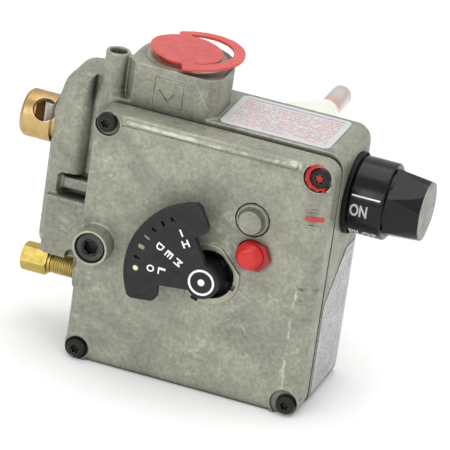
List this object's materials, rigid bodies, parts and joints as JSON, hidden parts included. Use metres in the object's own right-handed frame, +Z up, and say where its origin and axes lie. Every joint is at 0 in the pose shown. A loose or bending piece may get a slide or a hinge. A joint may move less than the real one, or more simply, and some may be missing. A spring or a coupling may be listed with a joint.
{
  "type": "water heater gas control valve",
  "caption": "Boxy cast gas control with a threaded inlet on top, a side outlet barrel, a thermostat dial and button in front, a side knob, and a shank and probe behind.",
  "frame": {"origin": "middle of the base of the whole valve's box, on the surface it stands on", "axes": "+X to the knob's side, along the burner outlet and the knob's axis; +Y from the dial's face back along the probe; +Z up, along the gas inlet"},
  "size_m": [0.1786, 0.1528, 0.137],
  "materials": {
    "cast": "die cast, matte grey with a faint olive and blue mottle, worn lighter along its ridges",
    "machined": "turned, satin",
    "black_screw": "black zinc, satin",
    "black_plastic": "glossy moulded black",
    "dial_plastic": "satin moulded black with white numbers",
    "white_print": "white printing",
    "red_plastic": "soft moulded salmon red",
    "button_red": "moulded red",
    "seal_red": "glossy red sealing compound",
    "brass": "turned brass",
    "steel": "satin",
    "copper": "drawn copper, matte",
    "white_plastic": "moulded off-white",
    "gasket": "brown fibre and rubber sheet",
    "label": "printed foil",
    "valve_rubber": "black rubber"
  },
  "bodies": {
    "valve_body": {"main_casting": "cast", "front_cover": "cast", "regulator_cap": "machined", "cover_screw_top_left": "black_screw", "cover_screw_top_right": "black_screw", "cover_screw_bottom_left": "black_screw", "cover_screw_bottom_right": "black_screw", "mounting_bolt": "black_screw", "dial_bushing": "black_plastic", "knob_bezel": "black_plastic", "reset_bushing": "button_red", "tamper_seal": "seal_red", "index_paint": "seal_red", "outlet_barrel": "brass", "pilot_nut": "brass", "pilot_ferrule": "brass", "cock_sleeve": "brass", "cock_packing_bush": "brass", "main_valve_seat": "brass", "tank_shank": "brass", "outlet_cross_pin": "steel", "inlet_screen": "steel", "regulator_spring": "steel", "reset_spring": "steel", "reset_spring_seat": "steel", "safety_magnet": "steel", "knob_spring": "steel", "lever_pin": "steel", "probe_tube": "copper", "body_gasket": "gasket", "top_label": "label", "side_label": "label", "regulator_diaphragm": "valve_rubber"},
    "dial": {"dial_plate": "dial_plastic", "dial_hub": "black_plastic", "dial_badge": "white_print", "dial_pivot_dot": "white_print", "dial_adjusting_screw": "brass"},
    "inlet_plug": {"inlet_plug": "red_plastic"},
    "shank_protector": {"shank_protector": "white_plastic"},
    "pilot_screw": {"pilot_adjusting_screw": "steel"},
    "reset_button": {"reset_button": "button_red", "reset_stem": "steel", "safety_valve_disc": "valve_rubber"},
    "gas_cock": {"cock_plug": "brass", "cock_shaft": "steel"},
    "gas_knob": {"gas_knob": "black_plastic", "knob_end_disc": "steel"},
    "thermostat_lever": {"thermostat_lever": "steel"},
    "main_valve": {"main_valve_disc": "valve_rubber"},
    "probe_rod": {"probe_rod": "steel"}
  },
  "joints": [
    {"name": "dial_turn", "type": "hinge", "parent": "valve_body", "child": "dial", "pos_m": [0.0102, -0.07408, 0.0549], "axis": [0, -1, 0], "range_deg": [-27, 27]},
    {"name": "gas_cock_turn", "type": "hinge", "parent": "valve_body", "child": "gas_cock", "pos_m": [0.044, -0.02708, 0.0911], "axis": [1, 0, 0], "range_deg": [-130, 0]},
    {"name": "gas_knob_push", "type": "slide", "parent": "gas_cock", "child": "gas_knob", "axis": [-1, 0, 0], "range_m": [0, 0.0018], "stiffness_N_per_m": 500, "springref_m": -0.003, "deforming": ["knob_spring"]},
    {"name": "reset_button_push", "type": "slide", "parent": "valve_body", "child": "reset_button", "axis": [0, 1, 0], "range_m": [0, 0.004], "stiffness_N_per_m": 500, "springref_m": -0.004, "deforming": ["reset_spring"]},
    {"name": "pilot_screw_turn", "type": "hinge", "parent": "valve_body", "child": "pilot_screw", "pos_m": [-0.0495, -0.04308, 0.1277], "axis": [0, 0, 1], "range_deg": [-360, 360]},
    {"name": "inlet_plug_lift", "type": "slide", "parent": "valve_body", "child": "inlet_plug", "axis": [0, 0, 1], "range_m": [0, 0.03]},
    {"name": "shank_protector_pull", "type": "slide", "parent": "valve_body", "child": "shank_protector", "axis": [0, 1, 0], "range_m": [0, 0.072]},
    {"name": "thermostat_lever_rock", "type": "hinge", "parent": "valve_body", "child": "thermostat_lever", "pos_m": [0.011, -0.02568, 0.1032], "axis": [1, 0, 0], "range_deg": [-1.3, 0], "stiffness_Nm_per_rad": 0.3},
    {"name": "main_valve_open", "type": "slide", "parent": "valve_body", "child": "main_valve", "axis": [0, -1, 0], "range_m": [0, 0.0016]},
    {"name": "probe_rod_shift", "type": "slide", "parent": "valve_body", "child": "probe_rod", "axis": [0, -1, 0], "range_m": [0, 0.0004]}
  ],
  "couplings": [
    {"joint": "main_valve_open", "follows": "thermostat_lever_rock", "m_per_rad": -0.0695},
    {"joint": "probe_rod_shift", "follows": "thermostat_lever_rock", "m_per_rad": -0.0135}
  ]
}
